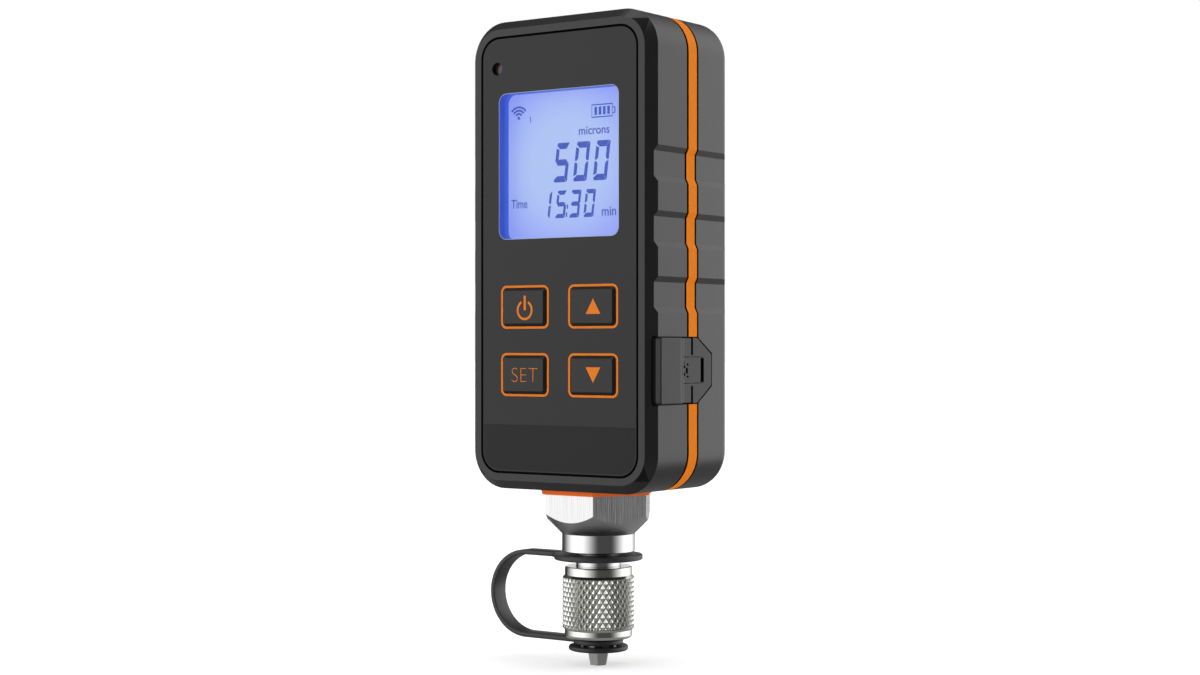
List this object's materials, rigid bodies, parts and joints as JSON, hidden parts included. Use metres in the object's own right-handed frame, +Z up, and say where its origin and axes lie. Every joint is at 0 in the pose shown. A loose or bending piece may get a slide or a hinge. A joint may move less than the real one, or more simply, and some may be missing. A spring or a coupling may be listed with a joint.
{
  "type": "digital vacuum gauge",
  "caption": "Hand-held micron vacuum gauge: upright two-shell housing with screen, press keys and side port cover, on a swivel service coupler with a strapped dust plug.",
  "frame": {"origin": "middle of the coupler nut's mouth, on the axis of the fitting", "axes": "+Z up along the fitting's axis to the top of the housing, -Y out of the screen, +X towards the charging port"},
  "size_m": [0.0546, 0.0312, 0.1422],
  "materials": {
    "shell": "fine moulded texture",
    "orange": "satin",
    "panel": "matt film",
    "key": "satin with printed marks",
    "lens": "clear",
    "screen_wall": "satin",
    "screen": "lit liquid crystal",
    "light_guide": "clear acrylic",
    "strip": "striped",
    "white_part": "moulded",
    "board": "solder mask",
    "socket_steel": "tin plated",
    "chip": "moulded",
    "battery": "laminated foil",
    "foam": "closed cell foam",
    "soft_cover": "matt",
    "polished_brass": "polished nickel plate",
    "plain_brass": "turned",
    "sensor_can": "drawn",
    "seal_rubber": "smooth",
    "gasket": "smooth",
    "strap": "satin",
    "nickel_knurl": "nickel plated, diamond knurl",
    "nickel_plain": "nickel plated",
    "screw_steel": "zinc plated",
    "dome": "silicone",
    "flex": "amber film",
    "lead": "insulated wire"
  },
  "bodies": {
    "gauge_body": {"front_housing": "shell", "mid_band": "orange", "rear_housing": "shell", "shell_screws": "screw_steel", "front_panel": "panel", "window_lens": "lens", "screen_shroud": "screen_wall", "screen_glass": "screen", "screen_backlight": "light_guide", "contact_strip": "strip", "dome_power": "dome", "dome_up": "dome", "dome_set": "dome", "dome_down": "dome", "light_pipe": "lens", "status_light": "white_part", "main_board": "board", "board_screws": "screw_steel", "charging_socket": "socket_steel", "controller_chip": "chip", "wireless_module": "socket_steel", "buzzer": "chip", "battery_plug": "white_part", "battery_cell": "battery", "battery_pad": "foam", "cover_anchor": "soft_cover", "fitting_seal": "orange", "fitting_body": "polished_brass", "sensor_seal": "seal_rubber", "lock_nut": "plain_brass", "vacuum_sensor": "sensor_can", "sensor_board": "board", "sensor_cable": "flex", "cable_connector": "white_part", "battery_leads": "lead", "snap_ring": "sensor_can", "flare_gasket": "gasket", "core_depressor": "plain_brass", "plug_strap": "strap"},
    "key_power": {"key_power": "key"},
    "key_up": {"key_up": "key"},
    "key_set": {"key_set": "key"},
    "key_down": {"key_down": "key"},
    "port_cover": {"port_cover": "soft_cover"},
    "coupler_nut": {"coupler_nut": "nickel_knurl"},
    "dust_plug": {"dust_plug": "nickel_plain", "plug_seal": "seal_rubber", "star_washer": "screw_steel", "plug_washer": "seal_rubber"}
  },
  "joints": [
    {"name": "key_power_press", "type": "slide", "parent": "gauge_body", "child": "key_power", "axis": [0, 1, 0], "range_m": [0, 0.0008], "stiffness_N_per_m": 400, "deforming": ["dome_power"]},
    {"name": "key_up_press", "type": "slide", "parent": "gauge_body", "child": "key_up", "axis": [0, 1, 0], "range_m": [0, 0.0008], "stiffness_N_per_m": 400, "deforming": ["dome_up"]},
    {"name": "key_set_press", "type": "slide", "parent": "gauge_body", "child": "key_set", "axis": [0, 1, 0], "range_m": [0, 0.0008], "stiffness_N_per_m": 400, "deforming": ["dome_set"]},
    {"name": "key_down_press", "type": "slide", "parent": "gauge_body", "child": "key_down", "axis": [0, 1, 0], "range_m": [0, 0.0008], "stiffness_N_per_m": 400, "deforming": ["dome_down"]},
    {"name": "port_cover_hinge", "type": "hinge", "parent": "gauge_body", "child": "port_cover", "pos_m": [0.0241, 0.00035, 0.0592], "axis": [0, 0, 1], "range_deg": [0, 100], "stiffness_Nm_per_rad": 0.004},
    {"name": "coupler_nut_swivel", "type": "hinge", "parent": "gauge_body", "child": "coupler_nut", "pos_m": [0, 0, 0.008], "axis": [0, 0, 1], "continuous": true},
    {"name": "dust_plug_pull", "type": "slide", "parent": "gauge_body", "child": "dust_plug", "axis": [0, 0, -1], "range_m": [0, 0.012], "deforming": ["plug_strap"]}
  ]
}
